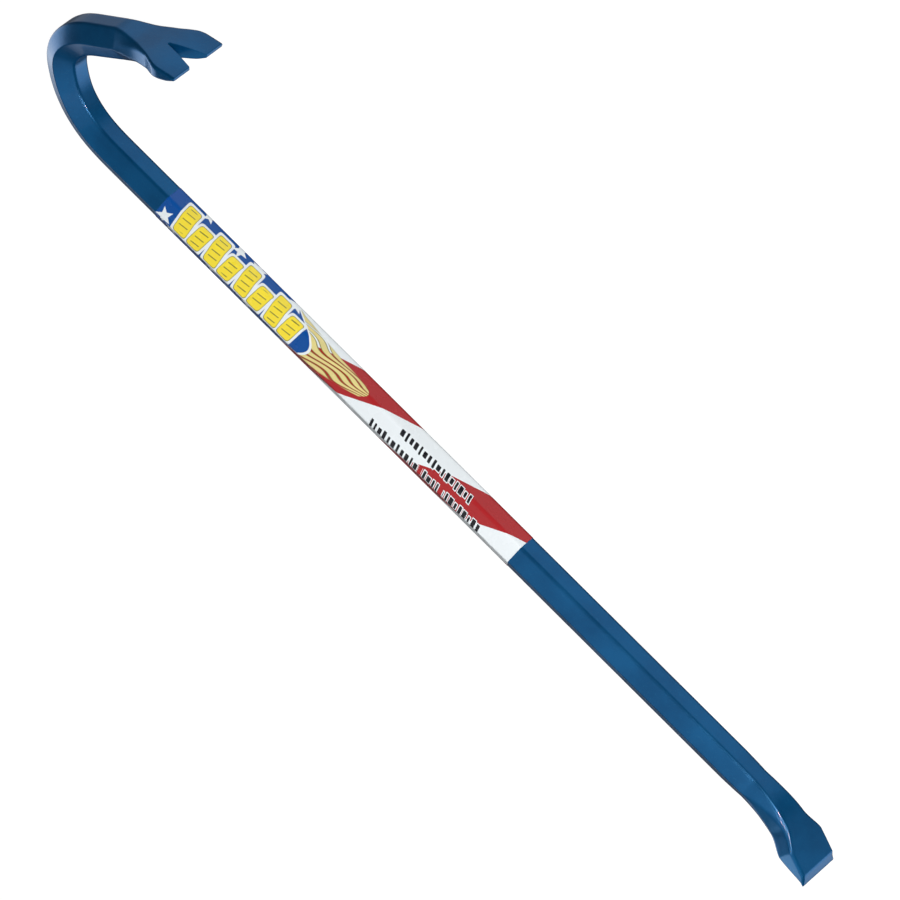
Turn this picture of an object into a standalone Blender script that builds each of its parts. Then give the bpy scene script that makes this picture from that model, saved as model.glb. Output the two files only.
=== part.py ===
"""Gooseneck wrecking bar, forged in one piece from hexagonal bar, with a printed film label round its shaft.

Frame: the bar lies on its side with its plane of symmetry level. +X runs along the shaft from the hook to
the chisel, +Y points to the side that the hook opens to, and +Z is up. The origin is at the middle of the
bounding box in X and Y, and at its lowest point in Z. Lengths are in metres and angles in radians.
"""

from math import cos, pi, radians, sin, sqrt, tan

import bmesh
import bpy
import numpy as np

MM = 0.001

# Bar stock: a hexagon with flats facing +Y and -Y on the shaft.
ACROSS_FLATS = 19.05 * MM
FLAT_REACH = ACROSS_FLATS / 2
CORNER_REACH = ACROSS_FLATS / sqrt(3)
CORNER_RADIUS = 1.6 * MM
CORNER_LAND = 0.3 * MM
CORNER_SHARE = 0.48
ARM_UPSET = 1.05
ARM_FLAT = FLAT_REACH * ARM_UPSET
ARM_CORNER = CORNER_REACH * ARM_UPSET

# Lengths are measured along the bar from the claw's tip to the chisel's edge. BEND_WRAP is the length of
# bar that the bends take up. Each bend is (start, length, turn).
OVERALL_LENGTH = 609.6 * MM
BEND_WRAP = 107.1 * MM
BAR_LENGTH = OVERALL_LENGTH + BEND_WRAP
CLAW_BEND = (1.5 * MM, 53 * MM, radians(15))
KNUCKLE_BEND = (69 * MM, 20.5 * MM, radians(23))
CROWN_BEND = (83 * MM, 30.5 * MM, radians(55))
NECK_BEND = (95 * MM, 79.5 * MM, radians(59))
HOOK_BENDS = (CLAW_BEND, KNUCKLE_BEND, CROWN_BEND, NECK_BEND)
CHISEL_BEND = (BAR_LENGTH - 59.5 * MM, 38.5 * MM, radians(-20))

# Claw: a flat two-tined blade that tapers towards its tips.
CLAW_HALF_WIDTH = 21.5 * MM
CLAW_STRAIGHT = 14.5 * MM
CLAW_FLARE_END = 52 * MM
CLAW_TIP_HALF_THICKNESS = 1.1 * MM
SLOT_DEPTH = 22 * MM
SLOT_HALF_MOUTH = 7.1 * MM
SLOT_OVERRUN = 6 * MM

# Crown: the bend gathers metal on its inside and stretches it thin on its outside.
CROWN_INSIDE = (90 * MM, 10.8 * MM)
CROWN_OUTSIDE = (98 * MM, 9.2 * MM)
CROWN_END = 130 * MM

# Blades: their edges are chamfered, by less where a blade is thin.
BLADE_CHAMFER = 1.2 * MM
CHAMFER_SHARE = 0.35

# Chisel: a flat blade with straight sides and one blunt bevel on its +Y face.
CHISEL_HALF_WIDTH = 14.2 * MM
CHISEL_STRAIGHT = 19.7 * MM
CHISEL_BEVEL = 5 * MM
CHISEL_EDGE_LOW = 1.9 * MM
CHISEL_EDGE_HIGH = -1.1 * MM
CHISEL_FORGED = 75 * MM

# Label: a film sleeve on the six flats of the shaft, clear of the paint by LABEL_GAP.
LABEL_START = 208.6 * MM
LABEL_LENGTH = 271 * MM
LABEL_GAP = 0.3 * MM
LABEL_THICKNESS = 0.25 * MM

# Rolled stock is never quite flat: its flats dip by STOCK_DIP beside the label, which leaves the bare
# stretch of the shaft with faces of its own.
STOCK_DIP = 0.02 * MM
LABEL_MARGIN = 4 * MM
LABEL_HOOK_SIDE = LABEL_START - LABEL_MARGIN
LABEL_CHISEL_SIDE = LABEL_START + LABEL_LENGTH + LABEL_MARGIN

# Mesh fineness.
FINE_STEP = 4 * MM
CLOSEST_STEP = 1 * MM
FINE_HOOK = 200 * MM
FINE_CHISEL = 84 * MM
ARC_POINTS = 3
PATH_STEP = 0.25 * MM
SHARP_ANGLE = radians(30)

# Reach of each face from the centreline as (distance from the end, reach); a True marks a crease.
HOOK_INNER = (
    (0, CLAW_TIP_HALF_THICKNESS),
    (6 * MM, 3.2 * MM),
    (CLAW_STRAIGHT, 4.3 * MM),
    (34 * MM, 6.7 * MM),
    (CLAW_FLARE_END, ARM_FLAT),
    CROWN_INSIDE,
    (CROWN_END, FLAT_REACH),
    (LABEL_HOOK_SIDE, FLAT_REACH - STOCK_DIP),
)
HOOK_OUTER = (
    (0, CLAW_TIP_HALF_THICKNESS),
    (CLAW_STRAIGHT, 3.8 * MM),
    (34 * MM, 6.3 * MM),
    (CLAW_FLARE_END, ARM_FLAT),
    (76 * MM, ARM_FLAT),
    CROWN_OUTSIDE,
    (CROWN_END, FLAT_REACH),
    (LABEL_HOOK_SIDE, FLAT_REACH - STOCK_DIP),
)
HOOK_HALF_WIDTH = (
    (0, CLAW_HALF_WIDTH),
    (CLAW_STRAIGHT, CLAW_HALF_WIDTH, True),
    (25 * MM, 15.2 * MM),
    (38 * MM, 12.3 * MM),
    (60 * MM, ARM_CORNER),
    (90 * MM, ARM_CORNER),
    (CROWN_END, CORNER_REACH),
)
HOOK_SQUARENESS = ((0, 1), (22 * MM, 1), (50 * MM, 0))
CHISEL_TOP = (
    (0, CHISEL_EDGE_HIGH),
    (CHISEL_BEVEL, 3.1 * MM, True),
    (20 * MM, 5.6 * MM),
    (40 * MM, 7.9 * MM),
    (CHISEL_FORGED, FLAT_REACH),
    (BAR_LENGTH - LABEL_CHISEL_SIDE, FLAT_REACH - STOCK_DIP),
)
CHISEL_BOTTOM = (
    (0, CHISEL_EDGE_LOW),
    (20 * MM, 6.4 * MM),
    (40 * MM, 7.7 * MM),
    (CHISEL_FORGED, FLAT_REACH),
    (BAR_LENGTH - LABEL_CHISEL_SIDE, FLAT_REACH - STOCK_DIP),
)
CHISEL_WIDTH = (
    (0, CHISEL_HALF_WIDTH),
    (CHISEL_STRAIGHT, CHISEL_HALF_WIDTH, True),
    (33 * MM, 9.9 * MM),
    (44 * MM, 9.9 * MM),
    (66 * MM, CORNER_REACH),
)
CHISEL_SQUARENESS = ((0, 1), (20 * MM, 1), (60 * MM, 0))


def clear_scene():
    for thing in list(bpy.data.objects):
        bpy.data.objects.remove(thing, do_unlink=True)


def new_collection(name, hidden=False):
    made = bpy.data.collections.new(name)
    made.hide_render = hidden
    bpy.context.scene.collection.children.link(made)
    return made


def paint(name, colour, roughness, metallic=0.0):
    made = bpy.data.materials.new(name)
    made.use_nodes = True
    shader = made.node_tree.nodes["Principled BSDF"]
    shader.inputs["Base Color"].default_value = (*colour, 1)
    shader.inputs["Roughness"].default_value = roughness
    shader.inputs["Metallic"].default_value = metallic
    return made


def smoothstep(t):
    t = np.clip(t, 0, 1)
    return t * t * (3 - 2 * t)


def curve_piece(x, y, at):
    """A smooth curve through the points that rises or falls only where they do."""
    width = np.diff(x)
    rise = np.diff(y) / width
    slope = np.zeros(len(x))
    slope[0] = rise[0]
    slope[-1] = rise[-1]
    for i in range(1, len(x) - 1):
        if rise[i - 1] * rise[i] > 0:
            before = 2 * width[i] + width[i - 1]
            after = width[i] + 2 * width[i - 1]
            slope[i] = (before + after) / (before / rise[i - 1] + after / rise[i])
    at = np.clip(at, x[0], x[-1])
    i = np.clip(np.searchsorted(x, at, side="right") - 1, 0, len(x) - 2)
    t = (at - x[i]) / width[i]
    blend = t * t * (3 - 2 * t)
    leave = t * (1 - t) ** 2 * width[i] * slope[i]
    arrive = t * t * (t - 1) * width[i] * slope[i + 1]
    return y[i] + blend * (y[i + 1] - y[i]) + leave + arrive


def curve_through(keys, at):
    """The reach at each distance in at, from keys of (distance, reach) with an optional crease mark."""
    last = len(keys) - 1
    cuts = [0] + [i for i in range(1, last) if len(keys[i]) > 2] + [last]
    reach = np.full(len(at), float(keys[0][1]))
    for first, end in zip(cuts[:-1], cuts[1:]):
        x = np.array([key[0] for key in keys[first : end + 1]], float)
        y = np.array([key[1] for key in keys[first : end + 1]], float)
        reach = np.where(at >= x[0], curve_piece(x, y, at), reach)
    return reach


def centreline():
    """Distances along the bar with the x, y and heading there. The shaft heads along +X on y = 0."""
    along = np.linspace(0, BAR_LENGTH, int(BAR_LENGTH / PATH_STEP) + 1)
    step = along[1] - along[0]
    heading = np.full(len(along), -sum(bend[2] for bend in HOOK_BENDS))
    for start, length, turn in HOOK_BENDS + (CHISEL_BEND,):
        heading += turn * smoothstep((along - start) / length)
    x = np.concatenate([[0], np.cumsum((np.cos(heading[1:]) + np.cos(heading[:-1])) / 2 * step)])
    y = np.concatenate([[0], np.cumsum((np.sin(heading[1:]) + np.sin(heading[:-1])) / 2 * step)])
    shaft = len(along) // 2
    return along, x - x[shaft], y - y[shaft], heading


def station_places():
    """Where the cross-sections stand along the bar: close together on the hook and the chisel."""
    hook = np.arange(0, FINE_HOOK, FINE_STEP)
    chisel = BAR_LENGTH - np.arange(0, FINE_CHISEL, FINE_STEP)
    creases = [CLAW_STRAIGHT, BAR_LENGTH - CHISEL_BEVEL, BAR_LENGTH - CHISEL_STRAIGHT]
    beside_label = [LABEL_HOOK_SIDE, LABEL_CHISEL_SIDE]
    places = np.sort(np.concatenate([hook, beside_label, chisel, creases]))
    spaced = [places[0]]
    for place in places[1:]:
        if place - spaced[-1] < CLOSEST_STEP:
            if place in creases:
                spaced[-1] = place
        else:
            spaced.append(place)
    return np.array(spaced)


def profiles(at):
    """For each distance: reach to the +Y side, reach to the other side, half width and squareness."""
    from_end = BAR_LENGTH - at
    on_hook = at < BAR_LENGTH / 2

    def joined(hook, chisel):
        return np.where(on_hook, curve_through(hook, at), curve_through(chisel, from_end))

    inner = joined(HOOK_INNER, CHISEL_TOP)
    outer = joined(HOOK_OUTER, CHISEL_BOTTOM)
    half = joined(HOOK_HALF_WIDTH, CHISEL_WIDTH)
    square = joined(HOOK_SQUARENESS, CHISEL_SQUARENESS)
    return inner, outer, half, square


def rounded(corners, radius):
    """The corners as a closed outline, each one rounded with ARC_POINTS points."""
    outline = []
    for i, corner in enumerate(corners):
        before = corners[i - 1] - corner
        after = corners[(i + 1) % len(corners)] - corner
        cut = min(radius, CORNER_SHARE * np.hypot(*before), CORNER_SHARE * np.hypot(*after))
        start = corner + before / np.hypot(*before) * cut
        end = corner + after / np.hypot(*after) * cut
        for t in np.linspace(0, 1, ARC_POINTS):
            outline.append((1 - t) ** 2 * start + 2 * t * (1 - t) * corner + t * t * end)
    return np.array(outline)


def cross_section(inner, outer, half, square):
    """Outline as (offset to the +Y side, z): a hexagon at squareness 0 and a blade's rectangle at 1."""
    chamfer = min(BLADE_CHAMFER, CHAMFER_SHARE * (inner + outer))
    flat = half / 2 * (1 - square) + (half - chamfer) * square
    side_in = CORNER_LAND * (1 - square) + (inner - chamfer) * square
    side_out = CORNER_LAND * (1 - square) + (outer - chamfer) * square
    upper = [(inner, flat), (side_in, half), (-side_out, half), (-outer, flat)]
    lower = [(offset, -z) for offset, z in reversed(upper)]
    return rounded(np.array(upper + lower), CORNER_RADIUS)


def loft(name, rings, collection, material):
    """A closed solid through rings of equal length, capped at both ends."""
    shape = bmesh.new()
    loops = [[shape.verts.new(point) for point in ring] for ring in rings]
    count = len(rings[0])
    for ring, following in zip(loops[:-1], loops[1:]):
        for i in range(count):
            j = (i + 1) % count
            shape.faces.new((ring[i], ring[j], following[j], following[i]))
    shape.faces.new(loops[0][::-1])
    shape.faces.new(loops[-1])
    bmesh.ops.recalc_face_normals(shape, faces=shape.faces)
    return finish(name, shape, collection, material)


def finish(name, shape, collection, material=None):
    data = bpy.data.meshes.new(name)
    shape.to_mesh(data)
    shape.free()
    data.shade_smooth()
    data.set_sharp_from_angle(angle=SHARP_ANGLE)
    made = bpy.data.objects.new(name, data)
    if material:
        data.materials.append(material)
    collection.objects.link(made)
    return made


def bar_rings():
    along, x, y, heading = centreline()
    rings = []
    places = station_places()
    for place, *sizes in zip(places, *profiles(places)):
        outline = cross_section(*sizes)
        at_x = np.interp(place, along, x)
        at_y = np.interp(place, along, y)
        turned = np.interp(place, along, heading)
        ring = [(at_x - sin(turned) * n, at_y + cos(turned) * n, z) for n, z in outline]
        rings.append(np.array(ring))
    return rings


def slot_cutter(collection):
    """A wedge through the claw's thickness, from past the tips to the slot's point."""
    along, x, y, heading = centreline()
    turned = heading[0]
    forward = np.array([cos(turned), sin(turned), 0])
    sideways = np.array([-sin(turned), cos(turned), 0])
    tip = np.array([x[0], y[0], 0])
    widen = 1 + SLOT_OVERRUN / SLOT_DEPTH
    half = SLOT_HALF_MOUTH * widen
    mouth = tip - forward * SLOT_OVERRUN
    corners = [mouth + [0, 0, half], mouth - [0, 0, half], tip + forward * SLOT_DEPTH]
    reach = 2 * FLAT_REACH
    shape = bmesh.new()
    floor = shape.faces.new([shape.verts.new(corner - sideways * reach) for corner in corners])
    raised = bmesh.ops.extrude_face_region(shape, geom=[floor])
    lifted = [part for part in raised["geom"] if isinstance(part, bmesh.types.BMVert)]
    bmesh.ops.translate(shape, verts=lifted, vec=sideways * 2 * reach)
    bmesh.ops.recalc_face_normals(shape, faces=shape.faces)
    cutter = finish("nail_slot_cutter", shape, collection)
    cutter.hide_render = True
    cutter.display_type = "WIRE"
    return cutter


def make_bar(parts, cutters, rings):
    bar = loft("forged_bar", rings, parts, paint("blue_paint", (0.016, 0.095, 0.23), 0.3))
    cut = bar.modifiers.new("nail_slot", "BOOLEAN")
    cut.operation = "DIFFERENCE"
    cut.solver = "EXACT"
    cut.object = slot_cutter(cutters)
    return bar


def make_label(parts):
    """An open hexagonal tube in the label's place, thickened inwards to its gap from the bar."""
    shape = bmesh.new()
    reach = FLAT_REACH + LABEL_GAP + LABEL_THICKNESS
    flat = reach * tan(pi / 6)
    upper = [(reach, flat), (CORNER_LAND, 2 * flat), (-CORNER_LAND, 2 * flat), (-reach, flat)]
    outline = rounded(np.array(upper + [(n, -z) for n, z in reversed(upper)]), CORNER_RADIUS)
    along, x, _, _ = centreline()
    start = np.interp(LABEL_START, along, x)
    loops = []
    for end in (start, start + LABEL_LENGTH):
        loops.append([shape.verts.new((end, n, z)) for n, z in outline])
    for i in range(len(outline)):
        j = (i + 1) % len(outline)
        shape.faces.new((loops[0][i], loops[0][j], loops[1][j], loops[1][i]))
    bmesh.ops.recalc_face_normals(shape, faces=shape.faces)
    label = finish("label_wrap", shape, parts, paint("label_film", (0.62, 0.66, 0.74), 0.25))
    shell = label.modifiers.new("film", "SOLIDIFY")
    shell.thickness = LABEL_THICKNESS
    shell.offset = -1
    shell.use_even_offset = True
    return label


def main():
    clear_scene()
    parts = new_collection("pry_bar")
    cutters = new_collection("cutters", hidden=True)
    rings = bar_rings()
    points = np.concatenate(rings)
    low, high = points.min(axis=0), points.max(axis=0)
    shift = (-(low[0] + high[0]) / 2, -(low[1] + high[1]) / 2, -low[2])
    made = [make_bar(parts, cutters, rings), make_label(parts)]
    for thing in made + list(cutters.objects):
        thing.location = shift


main()
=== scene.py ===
"""The painted, labelled surface of the gooseneck wrecking bar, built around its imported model.

Everything is in the model's frame: the bar lies on its side, +X runs from the hook to the chisel, +Y is
the side that the hook opens to and +Z is up. Lengths are in metres, except in the label's print, which is
drawn in millimetres. The bar is rebuilt here at a finer step from the same driving dimensions as the
model, with rounded ends and slot edges, and the label is a thin film that laps over itself on the shaft's
underside.
"""

from math import asin, cos, pi, radians, sin, sqrt, tau

import bmesh
import bpy
import numpy as np
from mathutils import Matrix, Vector, noise


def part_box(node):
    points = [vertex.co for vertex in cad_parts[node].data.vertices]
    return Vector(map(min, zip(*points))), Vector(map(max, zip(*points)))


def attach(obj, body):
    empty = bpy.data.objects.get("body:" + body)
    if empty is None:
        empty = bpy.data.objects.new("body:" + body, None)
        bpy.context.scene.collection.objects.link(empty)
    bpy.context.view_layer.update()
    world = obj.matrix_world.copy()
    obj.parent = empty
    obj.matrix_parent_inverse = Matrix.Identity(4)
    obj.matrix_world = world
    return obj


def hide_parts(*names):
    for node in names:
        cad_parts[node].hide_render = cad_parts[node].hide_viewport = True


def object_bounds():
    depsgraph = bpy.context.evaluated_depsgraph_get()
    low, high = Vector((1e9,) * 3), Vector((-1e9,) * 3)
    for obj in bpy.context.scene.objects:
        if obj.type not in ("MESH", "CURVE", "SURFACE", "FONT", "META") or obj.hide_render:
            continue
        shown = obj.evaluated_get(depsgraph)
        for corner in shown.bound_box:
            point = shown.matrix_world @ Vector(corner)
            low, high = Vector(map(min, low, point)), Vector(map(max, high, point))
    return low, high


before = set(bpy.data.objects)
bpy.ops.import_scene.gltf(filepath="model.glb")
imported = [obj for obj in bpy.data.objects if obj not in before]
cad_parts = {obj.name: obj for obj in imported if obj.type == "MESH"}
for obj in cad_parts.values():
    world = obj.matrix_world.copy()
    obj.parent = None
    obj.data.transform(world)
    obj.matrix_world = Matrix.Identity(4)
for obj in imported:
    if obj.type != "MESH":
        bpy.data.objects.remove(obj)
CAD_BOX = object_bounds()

MM = 0.001

# Bar stock: a hexagon with flats facing +Y and -Y on the shaft.
ACROSS_FLATS = 19.05 * MM
FLAT_REACH = ACROSS_FLATS / 2
CORNER_REACH = ACROSS_FLATS / sqrt(3)
CORNER_RADIUS = 1.6 * MM
CORNER_LAND = 0.3 * MM
CORNER_SHARE = 0.48
ARM_UPSET = 1.05
ARM_FLAT = FLAT_REACH * ARM_UPSET
ARM_CORNER = CORNER_REACH * ARM_UPSET

# Lengths are measured along the bar from the claw's tip to the chisel's edge. BEND_WRAP is the length
# of bar that the bends take up. Each bend is (start, length, turn).
OVERALL_LENGTH = 609.6 * MM
BEND_WRAP = 107.1 * MM
BAR_LENGTH = OVERALL_LENGTH + BEND_WRAP
CLAW_BEND = (1.5 * MM, 53 * MM, radians(15))
KNUCKLE_BEND = (69 * MM, 20.5 * MM, radians(23))
CROWN_BEND = (83 * MM, 30.5 * MM, radians(55))
NECK_BEND = (95 * MM, 79.5 * MM, radians(59))
HOOK_BENDS = (CLAW_BEND, KNUCKLE_BEND, CROWN_BEND, NECK_BEND)
CHISEL_BEND = (BAR_LENGTH - 59.5 * MM, 38.5 * MM, radians(-20))

# Claw: a flat two-tined blade that tapers towards its tips. The slot is a V with a small round root.
CLAW_HALF_WIDTH = 21.5 * MM
CLAW_STRAIGHT = 14.5 * MM
CLAW_FLARE_END = 52 * MM
CLAW_TIP_HALF_THICKNESS = 1.1 * MM
SLOT_DEPTH = 22 * MM
SLOT_HALF_MOUTH = 7.1 * MM
SLOT_ROOT_RADIUS = 0.8 * MM
SLOT_EDGE_RADIUS = 0.45 * MM
SLOT_EDGE_SHARE = 0.4
SLOT_SLANT = asin(SLOT_HALF_MOUTH / sqrt(SLOT_HALF_MOUTH**2 + SLOT_DEPTH**2))
SLOT_ROOT_CENTRE = SLOT_DEPTH - SLOT_ROOT_RADIUS / sin(SLOT_SLANT)
SLOT_ROOT = SLOT_ROOT_CENTRE + SLOT_ROOT_RADIUS

# Crown: the bend gathers metal on its inside and stretches it thin on its outside.
CROWN_INSIDE = (90 * MM, 10.8 * MM)
CROWN_OUTSIDE = (98 * MM, 9.2 * MM)
CROWN_END = 130 * MM

# Blades: their edges are chamfered, by less where a blade is thin.
BLADE_CHAMFER = 1.2 * MM
CHAMFER_SHARE = 0.35

# Chisel: a flat blade with straight sides and one blunt bevel on its +Y face.
CHISEL_HALF_WIDTH = 14.2 * MM
CHISEL_STRAIGHT = 19.7 * MM
CHISEL_BEVEL = 5 * MM
CHISEL_EDGE_LOW = 1.9 * MM
CHISEL_EDGE_HIGH = -1.1 * MM
CHISEL_FORGED = 75 * MM

# Label: a film wrapped round the shaft and lapped over itself on the underside. It rises on to itself within
# FILM_RISE, with closer points over FILM_RISE_SPAN to either side of that edge.
LABEL_START = 208.6 * MM
LABEL_LENGTH = 271 * MM
FILM_GAP = 0.05 * MM
FILM_THICKNESS = 0.12 * MM
FILM_LAP = 5 * MM
FILM_SEAM = 4 * CORNER_REACH
FILM_RISE = 1.2 * MM
FILM_RISE_SPAN = 2 * MM
FILM_RISE_POINTS = 7
FILM_STEP = 2 * MM
FILM_PLACE_DIGITS = 7
FILM_SHARP_ANGLE = radians(50)

# Waviness that hammering leaves on the forged ends. It fades out along the rolled shaft.
FORGE_FADE = 25 * MM
ROLLED_WAVE = 0.012 * MM
FORGED_WAVE = 0.06 * MM
FORGE_SCALE = 13 * MM
FORGE_FINE_SCALE = 4.5 * MM
FORGE_FINE_SHARE = 0.35
FORGE_FINE_OFFSET = Vector((7, 3, 1))

# Mesh fineness: steps between cross-sections, which are long where the label hides the bar, and roundings.
FORGED_STEP = 1.1 * MM
SHAFT_STEP = 2.2 * MM
HIDDEN_STEP = 12 * MM
HIDDEN_MARGIN = 3 * MM
END_STEPS = 4
END_RADIUS = 0.45 * MM
END_SHARE = 0.45
SLOT_ROOT_STEPS = 8
PATH_STEP = 0.25 * MM
WELD = 0.004 * MM
TINY = 1e-9
SHARP_ANGLE = radians(42)

# Reach of each face from the centreline as (distance from the end, reach); a True marks a crease.
HOOK_INNER = (
    (0, CLAW_TIP_HALF_THICKNESS),
    (6 * MM, 3.2 * MM),
    (CLAW_STRAIGHT, 4.3 * MM),
    (34 * MM, 6.7 * MM),
    (CLAW_FLARE_END, ARM_FLAT),
    CROWN_INSIDE,
    (CROWN_END, FLAT_REACH),
)
HOOK_OUTER = (
    (0, CLAW_TIP_HALF_THICKNESS),
    (CLAW_STRAIGHT, 3.8 * MM),
    (34 * MM, 6.3 * MM),
    (CLAW_FLARE_END, ARM_FLAT),
    (76 * MM, ARM_FLAT),
    CROWN_OUTSIDE,
    (CROWN_END, FLAT_REACH),
)
HOOK_HALF_WIDTH = (
    (0, CLAW_HALF_WIDTH - 0.5 * MM),
    (2.5 * MM, CLAW_HALF_WIDTH),
    (CLAW_STRAIGHT - 4 * MM, CLAW_HALF_WIDTH),
    (CLAW_STRAIGHT, CLAW_HALF_WIDTH - 0.7 * MM),
    (CLAW_STRAIGHT + 4 * MM, CLAW_HALF_WIDTH - 2.7 * MM),
    (25 * MM, 15.2 * MM),
    (38 * MM, 12.3 * MM),
    (60 * MM, ARM_CORNER),
    (90 * MM, ARM_CORNER),
    (CROWN_END, CORNER_REACH),
)
HOOK_SQUARENESS = ((0, 1), (22 * MM, 1), (50 * MM, 0))
CHISEL_TOP = (
    (0, CHISEL_EDGE_HIGH),
    (CHISEL_BEVEL, 3.1 * MM, True),
    (20 * MM, 5.6 * MM),
    (40 * MM, 7.9 * MM),
    (CHISEL_FORGED, FLAT_REACH),
)
CHISEL_BOTTOM = (
    (0, CHISEL_EDGE_LOW),
    (20 * MM, 6.4 * MM),
    (40 * MM, 7.7 * MM),
    (CHISEL_FORGED, FLAT_REACH),
)
CHISEL_WIDTH = (
    (0, CHISEL_HALF_WIDTH),
    (CHISEL_STRAIGHT, CHISEL_HALF_WIDTH, True),
    (33 * MM, 9.9 * MM),
    (44 * MM, 9.9 * MM),
    (66 * MM, CORNER_REACH),
)
CHISEL_SQUARENESS = ((0, 1), (20 * MM, 1), (60 * MM, 0))

# Points along each stretch of half an outline: wide face, corner, slanted face and edge face.
FACE_PARTS = 8
CORNER_POINTS = 6
SLANT_PARTS = 6
EDGE_PARTS = 3
SLOT_WALL_PARTS = 5


# ---------------------------------------------------------------- the bar's shape


def smoothstep(t):
    t = np.clip(t, 0, 1)
    return t * t * (3 - 2 * t)


def curve_piece(x, y, at):
    """A smooth curve through the points that rises or falls only where they do."""
    width = np.diff(x)
    rise = np.diff(y) / width
    slope = np.zeros(len(x))
    slope[0] = rise[0]
    slope[-1] = rise[-1]
    for i in range(1, len(x) - 1):
        if rise[i - 1] * rise[i] > 0:
            before = 2 * width[i] + width[i - 1]
            after = width[i] + 2 * width[i - 1]
            slope[i] = (before + after) / (before / rise[i - 1] + after / rise[i])
    at = np.clip(at, x[0], x[-1])
    i = np.clip(np.searchsorted(x, at, side="right") - 1, 0, len(x) - 2)
    t = (at - x[i]) / width[i]
    leave = t * (1 - t) ** 2 * width[i] * slope[i]
    arrive = t * t * (t - 1) * width[i] * slope[i + 1]
    return y[i] + smoothstep(t) * (y[i + 1] - y[i]) + leave + arrive


def curve_through(keys, at):
    """The reach at each distance in at, from keys of (distance, reach) with an optional crease mark."""
    last = len(keys) - 1
    cuts = [0] + [i for i in range(1, last) if len(keys[i]) > 2] + [last]
    reach = np.full(len(at), float(keys[0][1]))
    for first, end in zip(cuts[:-1], cuts[1:]):
        x = np.array([key[0] for key in keys[first : end + 1]], float)
        y = np.array([key[1] for key in keys[first : end + 1]], float)
        reach = np.where(at >= x[0], curve_piece(x, y, at), reach)
    return reach


def centreline():
    """Distances along the bar with the x, y and heading there. The shaft heads along +X on y = 0."""
    along = np.linspace(0, BAR_LENGTH, int(BAR_LENGTH / PATH_STEP) + 1)
    step = along[1] - along[0]
    heading = np.full(len(along), -sum(bend[2] for bend in HOOK_BENDS))
    for start, length, turn in HOOK_BENDS + (CHISEL_BEND,):
        heading += turn * smoothstep((along - start) / length)

    def summed(slope):
        return np.concatenate([[0], np.cumsum((slope[1:] + slope[:-1]) / 2 * step)])

    x = summed(np.cos(heading))
    y = summed(np.sin(heading))
    shaft = len(along) // 2
    return along, x - x[shaft], y - y[shaft], heading


def sizes_at(at):
    """Reach to the +Y side and to the other, half width, squareness, and the inset that rounds an end."""
    at = np.atleast_1d(np.asarray(at, float))
    from_end = BAR_LENGTH - at
    on_hook = at < BAR_LENGTH / 2

    def joined(hook, chisel):
        return np.where(on_hook, curve_through(hook, at), curve_through(chisel, from_end))

    inner = joined(HOOK_INNER, CHISEL_TOP)
    outer = joined(HOOK_OUTER, CHISEL_BOTTOM)
    half = joined(HOOK_HALF_WIDTH, CHISEL_WIDTH)
    square = joined(HOOK_SQUARENESS, CHISEL_SQUARENESS)
    short = np.clip(1 - np.minimum(at, from_end) / END_RADIUS, 0, 1)
    inset = (1 - np.sqrt(1 - short**2)) * np.minimum(END_RADIUS, END_SHARE * (inner + outer))
    return inner - inset, outer - inset, half - inset, square, inset


def slot_half(at):
    """Half the slot's width at a distance from the tips: a V that ends in a round root."""
    if at < SLOT_ROOT_CENTRE + SLOT_ROOT_RADIUS * sin(SLOT_SLANT):
        return SLOT_HALF_MOUTH * (1 - at / SLOT_DEPTH)
    return sqrt(max(0, SLOT_ROOT_RADIUS**2 - (at - SLOT_ROOT_CENTRE) ** 2))


def corner_arc(before, corner, after, radius):
    """The corner of an outline, rounded."""
    back = before - corner
    ahead = after - corner
    cut = min(radius, CORNER_SHARE * np.hypot(*back), CORNER_SHARE * np.hypot(*ahead))
    start = corner + back / max(np.hypot(*back), TINY) * cut
    end = corner + ahead / max(np.hypot(*ahead), TINY) * cut
    steps = np.linspace(0, 1, CORNER_POINTS)
    return [(1 - t) ** 2 * start + 2 * t * (1 - t) * corner + t * t * end for t in steps]


def between(a, b, parts):
    """Evenly spaced points between two ends, without the ends."""
    return [a + (b - a) * i / parts for i in range(1, parts)]


def half_outline(inner, outer, half, square, low):
    """Outline as (offset to +Y, z), from the +Y face at z = low over the top to the other face."""
    chamfer = min(BLADE_CHAMFER, CHAMFER_SHARE * (inner + outer))
    flat = half / 2 * (1 - square) + (half - chamfer) * square
    side_in = CORNER_LAND * (1 - square) + (inner - chamfer) * square
    side_out = CORNER_LAND * (1 - square) + (outer - chamfer) * square
    near = [(inner, low), (inner, flat), (side_in, half)]
    far = [(-side_out, half), (-outer, flat), (-outer, low)]
    path = np.array(near + far)
    arcs = [corner_arc(path[i - 1], path[i], path[i + 1], CORNER_RADIUS) for i in range(1, 5)]
    outline = [path[0]] + between(path[0], arcs[0][0], FACE_PARTS) + arcs[0]
    for i, parts in ((1, SLANT_PARTS), (2, EDGE_PARTS), (3, SLANT_PARTS)):
        outline += between(arcs[i - 1][-1], arcs[i][0], parts) + arcs[i]
    return outline + between(arcs[3][-1], path[5], FACE_PARTS) + [path[5]]


def slot_wall(inner, outer, width, edge):
    """The slot's side of a tine, from the far face to the +Y face, with both its edges rounded."""
    low = width + edge
    far = np.array([-outer, width])
    near = np.array([inner, width])
    first = corner_arc(np.array([-outer, low]), far, near, edge)
    last = corner_arc(far, near, np.array([inner, low]), edge)
    return first[1:] + between(first[-1], last[0], SLOT_WALL_PARTS) + last[:-1]


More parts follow.
